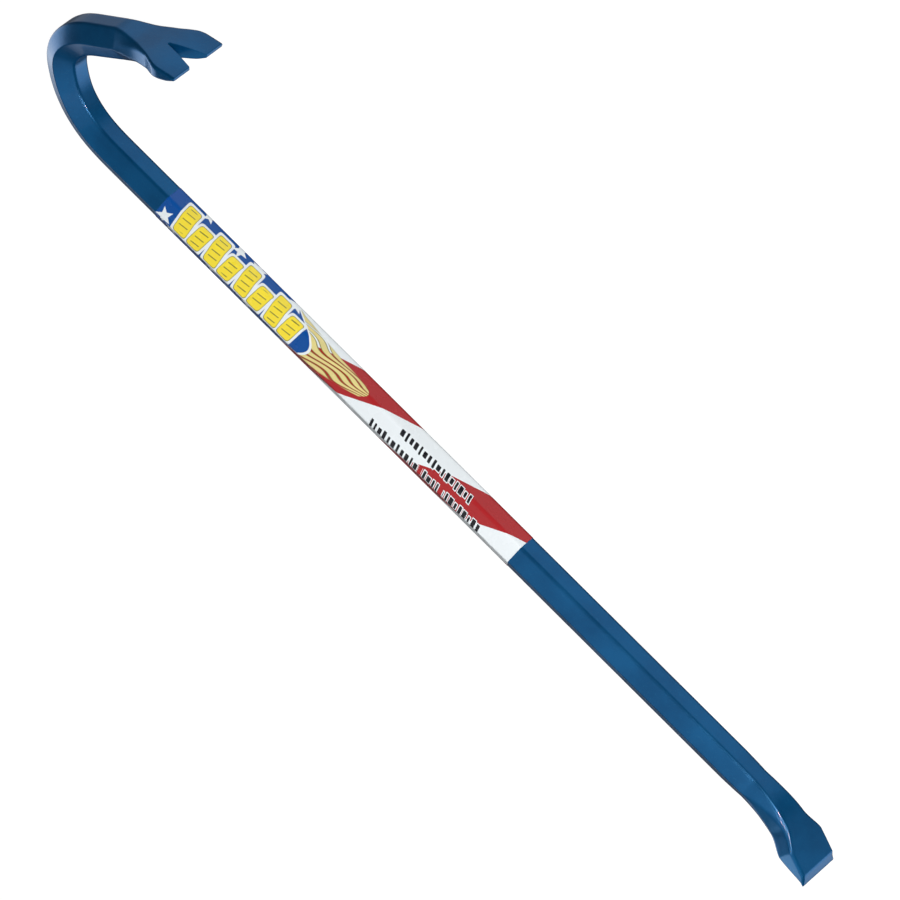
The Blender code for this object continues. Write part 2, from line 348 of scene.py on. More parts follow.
class BarShape:
    """Collects rings of vertices in a bmesh and joins each one to the one before."""

    def __init__(self):
        self.mesh = bmesh.new()
        self.line = centreline()

    def ring(self, place, outline):
        along, x, y, heading = self.line
        at_x, at_y, angle = (np.interp(place, along, values) for values in (x, y, heading))
        across_x, across_y = -sin(angle), cos(angle)
        return [self.mesh.verts.new((at_x + across_x * n, at_y + across_y * n, z)) for n, z in outline]

    def join(self, rings, cap_first=False, cap_last=False):
        count = len(rings[0])
        for ring, following in zip(rings[:-1], rings[1:]):
            for i in range(count):
                j = (i + 1) % count
                self.mesh.faces.new((ring[i], ring[j], following[j], following[i]))
        if cap_first:
            self.mesh.faces.new(rings[0][::-1])
        if cap_last:
            self.mesh.faces.new(rings[-1])


def end_places():
    """Closely spaced distances over the rounding of an end."""
    return END_RADIUS * (1 - np.cos(np.linspace(0, pi / 2, END_STEPS + 1)))


def bar_places():
    """Where the cross-sections stand, from the slot's root to the chisel: finer where it is forged."""
    label_start = LABEL_START - SHAFT_STEP
    label_end = LABEL_START + LABEL_LENGTH - HIDDEN_MARGIN
    hook = np.arange(SLOT_ROOT, label_start, FORGED_STEP)
    covered = np.arange(label_start, label_end, HIDDEN_STEP)
    shaft = np.arange(label_end, BAR_LENGTH - CHISEL_FORGED, SHAFT_STEP)
    chisel = np.arange(BAR_LENGTH - CHISEL_FORGED, BAR_LENGTH - 2 * END_RADIUS, FORGED_STEP)
    creases = [BAR_LENGTH - CHISEL_BEVEL, BAR_LENGTH - CHISEL_STRAIGHT]
    ends = BAR_LENGTH - end_places()
    return tidy_places(np.concatenate([hook, covered, shaft, chisel, ends]), creases)


def tidy_places(places, creases):
    """Sorted places with the creases among them, and none of the others close beside a crease."""
    kept = [p for p in places if min(abs(p - c) for c in creases) > FORGED_STEP / 2]
    return np.unique(np.concatenate([kept, creases]))


def tine_places():
    """Where the tines' cross-sections stand, from the tips to the slot's root."""
    root_span = 3 * SLOT_ROOT_RADIUS
    straight = np.arange(2 * END_RADIUS, SLOT_ROOT - root_span, FORGED_STEP)
    root = SLOT_ROOT - root_span * (1 - np.sin(np.linspace(0, pi / 2, SLOT_ROOT_STEPS + 1)))
    return tidy_places(np.concatenate([end_places(), straight, root]), [CLAW_STRAIGHT])


def build_tines(shape):
    places = tine_places()
    upper, lower = [], []
    for place, inner, outer, half, square, inset in zip(places, *sizes_at(places)):
        width = slot_half(place) + inset
        edge = min(SLOT_EDGE_RADIUS, width, SLOT_EDGE_SHARE * (inner + outer))
        if place == places[-1]:
            width, edge = 0.0, 0.0
        outline = half_outline(inner, outer, half, square, width + edge)
        outline += slot_wall(inner, outer, width, edge)
        upper.append(shape.ring(place, outline))
        lower.append(shape.ring(place, [(n, -z) for n, z in outline]))
    shape.join(upper, cap_first=True)
    shape.join(lower, cap_first=True)


def build_body(shape):
    places = bar_places()
    rings = []
    for place, inner, outer, half, square, _ in zip(places, *sizes_at(places)):
        top = half_outline(inner, outer, half, square, 0.0)
        under = [(n, -z) for n, z in reversed(top[1:-1])]
        rings.append(shape.ring(place, top + under))
    shape.join(rings, cap_last=True)


def forge_marks(mesh):
    """Moves the surface by the small waviness that hammering leaves."""
    along, x, _, _ = centreline()
    hook_x = np.interp(CROWN_END, along, x)
    chisel_x = np.interp(BAR_LENGTH - CHISEL_FORGED, along, x)
    mesh.normal_update()
    for vert in mesh.verts:
        beyond = max(hook_x - vert.co.x, vert.co.x - chisel_x, 0)
        forged = min(1.0, beyond / FORGE_FADE)
        depth = ROLLED_WAVE + (FORGED_WAVE - ROLLED_WAVE) * forged
        broad = noise.noise(vert.co / FORGE_SCALE)
        fine = noise.noise(vert.co / FORGE_FINE_SCALE + FORGE_FINE_OFFSET)
        vert.co += vert.normal * depth * (broad + FORGE_FINE_SHARE * fine)


def object_from(name, mesh, material, sharp_angle):
    data = bpy.data.meshes.new(name)
    mesh.to_mesh(data)
    mesh.free()
    data.shade_smooth()
    data.set_sharp_from_angle(angle=sharp_angle)
    data.materials.append(material)
    made = bpy.data.objects.new(name, data)
    bpy.context.scene.collection.objects.link(made)
    return made


def row_shift(points):
    """The move that puts the bar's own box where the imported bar's box is."""
    low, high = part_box("forged_bar")
    own_low, own_high = points.min(axis=0), points.max(axis=0)
    middle = (own_low + own_high) / 2
    move_x = (low.x + high.x) / 2 - middle[0]
    move_y = (low.y + high.y) / 2 - middle[1]
    return Vector((move_x, move_y, low.z - own_low[2]))


def make_bar(material):
    shape = BarShape()
    build_tines(shape)
    build_body(shape)
    bmesh.ops.remove_doubles(shape.mesh, verts=shape.mesh.verts, dist=WELD)
    bmesh.ops.recalc_face_normals(shape.mesh, faces=shape.mesh.faces)
    shift = row_shift(np.array([vert.co for vert in shape.mesh.verts]))
    forge_marks(shape.mesh)
    bmesh.ops.translate(shape.mesh, verts=shape.mesh.verts, vec=shift)
    return object_from("painted_bar", shape.mesh, material, SHARP_ANGLE), shift


# ---------------------------------------------------------------- the label's shape


def shaft_outline():
    """The shaft's outline as points, outward normals and distances from the middle of the +Y flat."""
    top = half_outline(FLAT_REACH, FLAT_REACH, CORNER_REACH, 0.0, 0.0)
    points = np.array(top + [(n, -z) for n, z in reversed(top[1:-1])] + [top[0]])
    steps = np.diff(points, axis=0)
    lengths = np.hypot(steps[:, 0], steps[:, 1])
    run = np.concatenate([[0], np.cumsum(lengths)])
    edges = np.stack([steps[:, 1], -steps[:, 0]], 1) / lengths[:, None]
    edges = np.concatenate([[edges[-1]], edges])
    normals = edges + np.roll(edges, -1, axis=0)
    normals[-1] = normals[0]
    normals /= np.hypot(normals[:, 0], normals[:, 1])[:, None]
    return points, normals, run


def film_section():
    """The film across the shaft: for each point, the outline's place, its normal, the wrap and the lift."""
    points, normals, run = shaft_outline()
    around = run[-1]
    seam = FILM_SEAM - around
    lap = seam + around
    stops = np.concatenate([run[:-1] - around, run, run + around])
    inside = stops[(stops > seam) & (stops < lap + FILM_LAP)]
    rise = lap + np.linspace(-FILM_RISE_SPAN, FILM_RISE_SPAN, FILM_RISE_POINTS)
    ends = [seam, lap + FILM_LAP]
    wrap = np.unique(np.round(np.concatenate([inside, rise, ends]), FILM_PLACE_DIGITS))
    at = np.mod(wrap, around)
    place = np.stack([np.interp(at, run, points[:, k]) for k in (0, 1)], 1)
    normal = np.stack([np.interp(at, run, normals[:, k]) for k in (0, 1)], 1)
    lapped = smoothstep((wrap - (lap - FILM_RISE)) / FILM_RISE)
    lift = FILM_GAP + lapped * (FILM_THICKNESS + FILM_GAP / 2)
    return place, normal, wrap, lift


def make_label(material, shift):
    place, normal, wrap, lift = film_section()
    along, x, _, _ = centreline()
    start = np.interp(LABEL_START, along, x) + shift.x
    columns = np.linspace(start, start + LABEL_LENGTH, int(LABEL_LENGTH / FILM_STEP) + 1)
    mesh = bmesh.new()
    layer = mesh.verts.layers.float_vector.new("wrap")
    skins = []
    for reach in (lift, lift + FILM_THICKNESS):
        rows = place + normal * reach[:, None]
        skin = []
        for column in columns:
            line = []
            for (n, z), wrapped in zip(rows, wrap):
                vert = mesh.verts.new((column, n + shift.y, z + shift.z))
                vert[layer] = ((column - start) / MM, wrapped / MM, 0)
                line.append(vert)
            skin.append(line)
        skins.append(skin)
    join_skins(mesh, *skins)
    bmesh.ops.recalc_face_normals(mesh, faces=mesh.faces)
    return object_from("label_film", mesh, material, FILM_SHARP_ANGLE)


def join_skins(mesh, under, over):
    """Faces of both sides of a sheet and of its four edges."""
    last = len(under) - 1
    end = len(under[0]) - 1
    for i in range(last):
        for j in range(end):
            mesh.faces.new((under[i][j], under[i][j + 1], under[i + 1][j + 1], under[i + 1][j]))
            mesh.faces.new((over[i][j], over[i + 1][j], over[i + 1][j + 1], over[i][j + 1]))
        mesh.faces.new((under[i][0], under[i + 1][0], over[i + 1][0], over[i][0]))
        mesh.faces.new((under[i][end], over[i][end], over[i + 1][end], under[i + 1][end]))
    for j in range(end):
        mesh.faces.new((under[0][j], over[0][j], over[0][j + 1], under[0][j + 1]))
        mesh.faces.new((under[last][j], under[last][j + 1], over[last][j + 1], over[last][j]))


# ---------------------------------------------------------------- materials


def rgb(red, green, blue):
    """A colour given as 0 to 255 on a screen, as the linear values that shaders take."""
    screen = (red / 255, green / 255, blue / 255)
    linear = [c / 12.92 if c <= 0.04045 else ((c + 0.055) / 1.055) ** 2.4 for c in screen]
    return (*linear, 1.0)


WHITE = (1, 1, 1, 1)

# Paint: noise scales are per metre, and shares and roughness run from 0 to 1.
PAINT_METALLIC = 0.62
PAINT_DARK = rgb(0, 80, 130)
PAINT_LIGHT = rgb(5, 93, 147)
PAINT_SPECK = rgb(35, 115, 165)
PAINT_SPECK_SHARE = 0.25
PAINT_ROUGHNESS = (0.3, 0.38)
PAINT_CLOUD_SCALE = 45
PAINT_GRAIN_SCALE = 900
PAINT_GRAIN_SHARE = 0.3
PAINT_PEEL_SCALE = 420
PAINT_BUMP = 0.05 * MM

# Printed film.
FILM_WHITE = rgb(232, 238, 241)
FILM_BLUE = rgb(6, 76, 152)
FILM_RED = rgb(168, 36, 40)
FILM_YELLOW = rgb(245, 222, 62)
FILM_GOLD = rgb(224, 210, 140)
FILM_OLIVE = rgb(120, 118, 60)
FILM_INK = rgb(24, 26, 32)
FILM_ROUGHNESS = (0.2, 0.32)
FILM_HANDLED_SCALE = 120
FILM_RIPPLE_SCALE = 150
FILM_BUMP = 0.04 * MM

# The print is drawn on coordinates (u, v): u along the label from its hook end, and v round it from the
# middle of the +Y flat. All of its lengths are in millimetres and its turns in radians.
PRINT_SOFTNESS = 0.12

# Blue field: its end is a wave round the bar that bulges furthest at its middle, with a white edge.
FIELD_LENGTH = 100.0
FIELD_BULGE = 13.0
FIELD_MIDDLE = 11.0
FIELD_PERIOD = 44.0
FIELD_EDGE = 1.6

# Stars as (along the label, round the label, radius, turn). Behind the front they stand in plain rows.
STARS = (
    (5.2, 14.2, 5.4, 0.3),
    (12.4, 19.0, 5.0, 1.0),
    (23.0, -5.6, 5.0, 0.8),
    (43.5, 18.4, 5.0, 0.5),
    (48.5, -3.4, 5.2, 0.2),
    (62.5, -3.2, 5.6, 0.9),
    (70.4, 18.6, 5.0, 0.1),
    (91.2, -4.0, 5.4, 0.6),
)
STARS_FRONT = (-8.5, 24.0)
STAR_WAIST = 0.42
STAR_ROWS = 11.0
STAR_COLUMNS = 16.0
STAR_RADIUS = 4.6
STAR_TURNS = (0.9, 2.1)

# Blocks: tall and short by turns, leaning to one side and the other, with fine lines across them.
BLOCKS = 8
BLOCK_FIRST = 16.6
BLOCK_PITCH = 11.6
BLOCK_WIDTH = 8.8
BLOCK_TOP = 15.8
BLOCK_FEET = (-1.8, 2.6)
BLOCK_LEANS = (0.1, -0.1)
BLOCK_ROUNDING = 3.0
BLOCK_BORDER = 1.7
BLOCK_OUTLINE = 0.3
HATCH_PITCH = 3.7
HATCH_LINE = 0.55
HATCH_SLANT = 0.12
HATCH_MARGIN = 1.4

# Rows of dashes as (start, end, middle). Their unevenness is (size, rate), with the rate per dash.
DASHES = ((180.0, 233.5, 6.2), (164.5, 200.5, 14.8), (204.0, 216.0, 14.8), (220.0, 249.0, 14.8))
DASH_PITCH = 3.4
DASH_LENGTH = 2.0
DASH_HEIGHT = 4.0
DASH_SLANT = 0.25
DASH_ROUNDING = 0.8
DASH_BORDER = 0.5
DASH_UNEVEN_LENGTH = (0.35, 2.4)
DASH_UNEVEN_HEIGHT = (0.5, 4.1)

# Red bands on white. They slide along the bar by BAND_SLIDE for each millimetre round it, and their wave
# is (size, rate).
BAND_SLIDE = 2.18
BAND_PITCH = 97.0
BAND_RED = 46.0
BAND_FIRST = 129.3
BAND_WAVE = (0.8, 0.3)

# Ribbons: a sheaf that narrows, drifts and bows from its start to its end, and whose ribbons wave. The
# gold and the dark edge reach from a ribbon's middle by these shares of its pitch.
RIBBONS = 5.0
RIBBON_START = 92.0
RIBBON_END = 154.0
RIBBON_HALF_START = 12.0
RIBBON_HALF_END = 3.0
RIBBON_TAPER = 0.8
RIBBON_MIDDLE = 7.5
RIBBON_DRIFT = 2.5
RIBBON_BOW = 1.6
RIBBON_WAVE = 0.2
RIBBON_FAN = 2.6
RIBBON_SWING = 0.42
RIBBON_REACH = 0.98
RIBBON_ROUNDING = 4.0
RIBBON_GOLD = 0.31
RIBBON_EDGED = 0.4
RIBBON_SOFTNESS = 0.05


class Nodes:
    """A short way to write shader maths: each method adds a node and returns its output."""

    def __init__(self, tree):
        self.tree = tree

    def add(self, kind, **settings):
        node = self.tree.nodes.new(kind)
        for name, value in settings.items():
            setattr(node, name, value)
        return node

    def feed(self, socket, value):
        if isinstance(value, bpy.types.NodeSocket):
            self.tree.links.new(value, socket)
        else:
            socket.default_value = value

    def maths(self, operation, *values):
        node = self.add("ShaderNodeMath", operation=operation)
        for socket, value in zip(node.inputs, values):
            self.feed(socket, value)
        return node.outputs[0]

    def plus(self, a, b):
        return self.maths("ADD", a, b)

    def minus(self, a, b):
        return self.maths("SUBTRACT", a, b)

    def times(self, a, b):
        return self.maths("MULTIPLY", a, b)

    def size(self, a):
        return self.maths("ABSOLUTE", a)

    def sine(self, a):
        return self.maths("SINE", a)

    def cosine(self, a):
        return self.maths("COSINE", a)

    def wave(self, a, size, rate):
        """A sine of a value, with its size and its rate in radians."""
        return self.times(self.sine(self.times(a, rate)), size)

    def larger(self, a, b):
        return self.maths("MAXIMUM", a, b)

    def smaller(self, a, b):
        return self.maths("MINIMUM", a, b)

    def step(self, a, pitch):
        """The whole number of pitches in a value."""
        return self.maths("FLOOR", self.maths("DIVIDE", a, pitch))

    def beyond(self, a, middle, half):
        """How far a value is past half on either side of the middle, and negative within."""
        return self.minus(self.size(self.minus(a, middle)), half)

    def mix(self, share, under, over):
        """A colour: under where share is 0 and over where it is 1."""
        node = self.add("ShaderNodeMix", data_type="RGBA")
        self.feed(node.inputs[0], share)
        self.feed(node.inputs[6], under)
        self.feed(node.inputs[7], over)
        return node.outputs[2]

    def noise(self, vector, scale, detail):
        node = self.add("ShaderNodeTexNoise")
        self.feed(node.inputs["Vector"], vector)
        node.inputs["Scale"].default_value = scale
        node.inputs["Detail"].default_value = detail
        return node.outputs["Fac"]

    def ramp(self, value, low, high, to_low=0.0, to_high=1.0):
        node = self.add("ShaderNodeMapRange")
        for socket, given in zip(node.inputs, (value, low, high, to_low, to_high)):
            self.feed(socket, given)
        return node.outputs[0]

    def inside(self, distance, soft=PRINT_SOFTNESS):
        """1 where a signed distance is below 0, with a soft edge."""
        return self.ramp(distance, -soft / 2, soft / 2, 1.0, 0.0)

    def both(self, *shares):
        """The product of shares, which is 1 only where all of them are."""
        made = shares[0]
        for share in shares[1:]:
            made = self.times(made, share)
        return made

    def nearest(self, distances):
        """The least of some signed distances, which joins their shapes."""
        made = None
        for distance in distances:
            made = distance if made is None else self.smaller(made, distance)
        return made


def new_material(name):
    """A new material, with a way to write its nodes and its shader."""
    made = bpy.data.materials.new(name)
    made.use_nodes = True
    return made, Nodes(made.node_tree), made.node_tree.nodes["Principled BSDF"]


def add_bump(nodes, shader, height, distance):
    bump = nodes.add("ShaderNodeBump")
    bump.inputs["Strength"].default_value = 1.0
    bump.inputs["Distance"].default_value = distance
    nodes.feed(bump.inputs["Height"], height)
    nodes.feed(shader.inputs["Normal"], bump.outputs[0])


def blue_paint():
    """Gloss lacquer over forged steel: slightly cloudy, with the fine orange peel of a dipped coat."""
    made, nodes, shader = new_material("blue_paint")
    place = nodes.add("ShaderNodeTexCoord").outputs["Object"]
    cloud = nodes.noise(place, PAINT_CLOUD_SCALE, 3)
    grain = nodes.noise(place, PAINT_GRAIN_SCALE, 2)
    peel = nodes.noise(place, PAINT_PEEL_SCALE, 3)
    colour = nodes.mix(nodes.ramp(cloud, 0.35, 0.65), PAINT_DARK, PAINT_LIGHT)
    speck = nodes.ramp(grain, 0.6, 0.75, 0.0, PAINT_SPECK_SHARE)
    nodes.feed(shader.inputs["Base Color"], nodes.mix(speck, colour, PAINT_SPECK))
    nodes.feed(shader.inputs["Roughness"], nodes.ramp(cloud, 0.3, 0.7, *PAINT_ROUGHNESS))
    shader.inputs["Metallic"].default_value = PAINT_METALLIC
    shader.inputs["Specular IOR Level"].default_value = 0.3
    shader.inputs["Coat Weight"].default_value = 0.2
    shader.inputs["Coat Roughness"].default_value = 0.06
    add_bump(nodes, shader, nodes.plus(peel, nodes.times(grain, PAINT_GRAIN_SHARE)), PAINT_BUMP)
    return made


def star_distance(nodes, across, up, radius):
    """Signed distance to a five-pointed star at the origin of (across, up), with one tip along +across."""
    turn = tau / 5
    tip = np.array([radius, 0.0])
    notch = STAR_WAIST * radius * np.array([cos(turn / 2), sin(turn / 2)])
    edge = notch - tip
    normal = np.array([edge[1], -edge[0]]) / np.hypot(*edge)
    reach = nodes.maths("SQRT", nodes.plus(nodes.times(across, across), nodes.times(up, up)))
    folded = nodes.maths("PINGPONG", nodes.maths("ARCTAN2", up, across), turn / 2)
    x = nodes.times(nodes.times(reach, nodes.cosine(folded)), float(normal[0]))
    y = nodes.times(nodes.times(reach, nodes.sine(folded)), float(normal[1]))
    return nodes.minus(nodes.plus(x, y), float(tip @ normal))


def turned(nodes, across, up, angle):
    """The coordinates (across, up) turned back by an angle, which may be a number or a socket."""
    cosine = nodes.cosine(angle)
    sine = nodes.sine(angle)
    x = nodes.plus(nodes.times(across, cosine), nodes.times(up, sine))
    y = nodes.minus(nodes.times(up, cosine), nodes.times(across, sine))
    return x, y


def placed_stars(nodes, u, v):
    """Signed distance to the stars round the blocks."""

    def star(across, up, radius, angle):
        x, y = turned(nodes, nodes.minus(u, across), nodes.minus(v, up), angle)
        return star_distance(nodes, x, y, radius)

    return nodes.nearest(star(*given) for given in STARS)


def staggered_stars(nodes, u, v):
    """Signed distance to staggered rows of stars, each turned a little differently."""
    row = nodes.step(v, STAR_ROWS)
    shifted = nodes.plus(u, nodes.times(row, STAR_COLUMNS / 2))
    column = nodes.step(shifted, STAR_COLUMNS)
    across = nodes.minus(shifted, nodes.times(nodes.plus(column, 0.5), STAR_COLUMNS))
    up = nodes.minus(v, nodes.times(nodes.plus(row, 0.5), STAR_ROWS))
    angle = nodes.plus(nodes.times(column, STAR_TURNS[0]), nodes.times(row, STAR_TURNS[1]))
    x, y = turned(nodes, across, up, angle)
    return star_distance(nodes, x, y, STAR_RADIUS)


def block_row(nodes, u, v):
    """Signed distance to a row of plain blocks, tall and short by turns, with softened corners."""

    def block(number):
        foot = BLOCK_FEET[number % 2]
        lean = BLOCK_LEANS[number % 2]
        up = nodes.minus(v, (foot + BLOCK_TOP) / 2)
        across = nodes.minus(u, BLOCK_FIRST + number * BLOCK_PITCH)
        across = nodes.minus(across, nodes.times(up, lean))
        side = nodes.minus(nodes.size(across), BLOCK_WIDTH / 2)
        end = nodes.minus(nodes.size(up), (BLOCK_TOP - foot) / 2)
        return nodes.maths("SMOOTH_MAX", side, end, BLOCK_ROUNDING)

    return nodes.nearest(block(number) for number in range(BLOCKS))


def hatching(nodes, u, v):
    """Signed distance to thin lines that run along the bar on a slight slant."""
    place = nodes.plus(v, nodes.times(u, HATCH_SLANT))
    return nodes.beyond(nodes.maths("WRAP", place, HATCH_PITCH, 0.0), HATCH_PITCH / 2, HATCH_LINE / 2)


def dash_row(nodes, u, v, start, end, middle):
    """Signed distance to a row of slanted dashes of uneven length and height."""
    slanted = nodes.minus(u, nodes.times(nodes.minus(v, middle), DASH_SLANT))
    number = nodes.step(slanted, DASH_PITCH)
    centre = nodes.times(nodes.plus(number, 0.5), DASH_PITCH)
    half = nodes.plus(nodes.wave(number, *DASH_UNEVEN_LENGTH), DASH_LENGTH / 2)
    side = nodes.beyond(slanted, centre, half)
    tall = nodes.plus(nodes.wave(number, *DASH_UNEVEN_HEIGHT), DASH_HEIGHT / 2)
    off = nodes.beyond(v, middle, tall)
    ends = nodes.larger(nodes.minus(start, slanted), nodes.minus(slanted, end))
    return nodes.larger(nodes.maths("SMOOTH_MAX", side, off, DASH_ROUNDING), ends)


def bands(nodes, u, v):
    """Wide red bands on white, wound round the label on a slant with a slight wave."""
    slide = nodes.plus(nodes.plus(u, nodes.times(v, BAND_SLIDE)), nodes.wave(v, *BAND_WAVE))
    phase = nodes.maths("WRAP", nodes.minus(slide, BAND_FIRST), BAND_PITCH, 0.0)
    red = nodes.inside(nodes.beyond(phase, BAND_RED / 2, BAND_RED / 2))
    return nodes.mix(red, FILM_WHITE, FILM_RED)


def ribbons(nodes, u, v, colour):
    """A sheaf of gold ribbons that narrows from the blue field to a round end among the bands."""
    share = nodes.ramp(u, RIBBON_START, RIBBON_END)
    left = nodes.maths("POWER", nodes.minus(1.0, share), RIBBON_TAPER)
    half = nodes.plus(nodes.times(left, RIBBON_HALF_START - RIBBON_HALF_END), RIBBON_HALF_END)
    middle = nodes.minus(RIBBON_MIDDLE, nodes.times(share, RIBBON_DRIFT))
    centre = nodes.plus(middle, nodes.wave(share, RIBBON_BOW, pi))
    across = nodes.maths("DIVIDE", nodes.minus(v, centre), half)
    bend = nodes.plus(nodes.times(u, RIBBON_WAVE), nodes.times(across, RIBBON_FAN))
    swing = nodes.times(nodes.sine(bend), RIBBON_SWING)
    strands = nodes.plus(nodes.times(across, RIBBONS / 2), swing)
    off = nodes.size(nodes.minus(nodes.maths("FRACT", strands), 0.5))
    rounding = nodes.times(nodes.times(across, across), RIBBON_ROUNDING)
    end = nodes.minus(u, nodes.minus(RIBBON_END, rounding))
    sheaf = nodes.larger(nodes.minus(nodes.size(across), RIBBON_REACH), end)
    inside = nodes.inside(nodes.larger(sheaf, nodes.minus(RIBBON_START, u)))
    edged = nodes.both(inside, nodes.inside(nodes.minus(off, RIBBON_EDGED), RIBBON_SOFTNESS))
    filled = nodes.both(inside, nodes.inside(nodes.minus(off, RIBBON_GOLD), RIBBON_SOFTNESS))
    return nodes.mix(filled, nodes.mix(edged, colour, FILM_OLIVE), FILM_GOLD)


def blue_field(nodes, u, v, colour):
    """The starred blue end of the label, with a rounded end edged in white."""
    sweep = nodes.cosine(nodes.times(nodes.minus(v, FIELD_MIDDLE), tau / FIELD_PERIOD))
    past = nodes.minus(u, nodes.plus(nodes.times(sweep, FIELD_BULGE), FIELD_LENGTH))
    above = nodes.maths("GREATER_THAN", v, STARS_FRONT[1])
    below = nodes.maths("LESS_THAN", v, STARS_FRONT[0])
    behind = nodes.both(nodes.plus(above, below), nodes.inside(staggered_stars(nodes, u, v)))
    stars = nodes.larger(behind, nodes.inside(placed_stars(nodes, u, v)))
    field = nodes.mix(stars, FILM_BLUE, FILM_WHITE)
    edged = nodes.mix(nodes.inside(nodes.minus(past, FIELD_EDGE)), colour, FILM_WHITE)
    return nodes.mix(nodes.inside(past), edged, field)


def label_print(nodes):
    """The label's printed design as one colour, from coordinates in millimetres along and round it."""
    wrap = nodes.add("ShaderNodeAttribute", attribute_name="wrap").outputs["Vector"]
    parts = nodes.add("ShaderNodeSeparateXYZ")
    nodes.feed(parts.inputs[0], wrap)
    u, v = parts.outputs[0], parts.outputs[1]
    colour = blue_field(nodes, u, v, ribbons(nodes, u, v, bands(nodes, u, v)))
    blocks = block_row(nodes, u, v)
    colour = nodes.mix(nodes.inside(nodes.minus(blocks, BLOCK_BORDER)), colour, FILM_WHITE)
    colour = nodes.mix(nodes.inside(nodes.minus(blocks, BLOCK_OUTLINE)), colour, FILM_OLIVE)
    colour = nodes.mix(nodes.inside(blocks), colour, FILM_YELLOW)
    hatch = nodes.larger(hatching(nodes, u, v), nodes.plus(blocks, HATCH_MARGIN))
    colour = nodes.mix(nodes.inside(hatch), colour, FILM_OLIVE)
    for start, end, middle in DASHES:
        dashes = dash_row(nodes, u, v, start, end, middle)
        colour = nodes.mix(nodes.inside(nodes.minus(dashes, DASH_BORDER)), colour, FILM_WHITE)
        colour = nodes.mix(nodes.inside(dashes), colour, FILM_INK)
    return colour


def label_film():
    """Glossy printed film, with the slight ripple of a sheet drawn tight over steel."""
    made, nodes, shader = new_material("label_film")
    place = nodes.add("ShaderNodeTexCoord").outputs["Object"]
    handled = nodes.noise(place, FILM_HANDLED_SCALE, 3)
    ripple = nodes.noise(place, FILM_RIPPLE_SCALE, 2)
    nodes.feed(shader.inputs["Base Color"], label_print(nodes))
    nodes.feed(shader.inputs["Roughness"], nodes.ramp(handled, 0.3, 0.7, *FILM_ROUGHNESS))
    shader.inputs["Specular IOR Level"].default_value = 0.4
    add_bump(nodes, shader, ripple, FILM_BUMP)
    return made


# ---------------------------------------------------------------- stage, light and camera


# Floor: a wide plane a little below the bar, bright enough to look white.
FLOOR_SIZE = 30
FLOOR_GLOW = 0.97
FLOOR_COLOUR = (0.15, 0.15, 0.15, 1)
FLOOR_DROP = 0.2 * MM

# Lights as (name, place, target, size, glow). The side card is a small one close to the chisel's -Y side.
# The glint lamps are small and warm and show only in the gloss, as a pale glint on an edge.
KEY_LIGHT = ("key", (0.9, 1.5, 1.0), (0, 0, 0), (1.0, 1.0), 14.5)
CEILING_CARD = ("ceiling_card", (0.3, 0.12, 1.0), (0.3, 0.12, 0), (1.0, 0.5), 0.45)
SIDE_CARD = ("side_card", (0.2856, -0.1, 0.0735), (0.294, -0.054, 0.0357), (0.035, 0.035), 2.5)
SIDE_CARD_COLOUR = (1, 0.82, 0.7)
GLINT_LAMPS = (
    ("neck_lamp", (0.55, 1.05, 0.5), (-0.27, -0.03, 0.03), (0.1, 0.08), 520),
    ("chisel_lamp", (0.46, 0.5, 0.88), (0.3, 0, 0), (0.08, 0.08), 220),
)
GLINT_COLOUR = (1.0, 0.43, 0.34)

# Bright patches low in the studio, as (bearing from +Y towards +X, half width, glow), with angles in
# degrees. Each edge below is given as the z of a direction where the glow starts and where it is full.
TABLE_PATCHES = ((-36, 44, 0.85), (-108, 22, 0.5), (48, 16, 0.3), (97, 26, 1.6))
PATCH_SOFTNESS = 8
TABLE_EDGE = (-0.3, -0.5)
TABLE_FOOT = (-0.9, -0.75)

# Soft round walls, as (direction, cosine at the rim, cosine where the full glow starts, glow).
WALLS = (
    ((-0.61, -0.79, 0.07), 0.86, 0.97, 2.3),
    ((0.02, -0.995, 0.08), 0.965, 0.99, 1.0),
    ((0.47, -0.3, 0.83), 0.84, 0.95, 0.5),
)
CEILING_EDGE = (0.7, 0.95)
CEILING_GLOW = 0.22
ROOM_GLOW = 0.07
SKY_COLOUR = (0.97, 0.985, 1, 1)

# The photo's view: (azimuth, elevation, roll) in degrees, and the lens and sensor in millimetres. The
# camera aims at the point of the shaft's centreline whose x is CAMERA_AIM.
CAMERA_ANGLES = (169.7, 38.69, -128.71)
CAMERA_LENS = 322.19
CAMERA_SENSOR = 36
CAMERA_SHIFT = (0.0310, 0.0048)
CAMERA_AIM = -4.8 * MM
CAMERA_DISTANCE = 4.3398
CAMERA_FAR = 100


def make_floor():
    made, _, shader = new_material("pale_floor")
    shader.inputs["Base Color"].default_value = FLOOR_COLOUR
    shader.inputs["Roughness"].default_value = 0.9
    shader.inputs["Specular IOR Level"].default_value = 0.1
    shader.inputs["Emission Color"].default_value = WHITE
    shader.inputs["Emission Strength"].default_value = FLOOR_GLOW
    bpy.ops.mesh.primitive_plane_add(size=FLOOR_SIZE, location=(0, 0, CAD_BOX[0].z - FLOOR_DROP))
    floor = bpy.context.object
    floor.name = "floor"
    floor.data.materials.append(made)
    floor.visible_glossy = False
    floor.visible_diffuse = False


def add_light(name, place, target, size, glow, glossy=True, diffuse=True, colour=(1, 1, 1)):
    """A soft box whose front glows by a multiple of white. The camera doesn't see it."""
    data = bpy.data.lights.new(name, "AREA")
    data.color = colour
    data.shape = "RECTANGLE"
    data.size, data.size_y = size
    data.energy = glow * pi * size[0] * size[1]
    made = bpy.data.objects.new(name, data)
    made.location = place
    aim = Vector(target) - Vector(place)
    made.rotation_euler = aim.to_track_quat("-Z", "Y").to_euler()
    made.visible_glossy = glossy
    made.visible_diffuse = diffuse
    made.visible_camera = False
    bpy.context.scene.collection.objects.link(made)


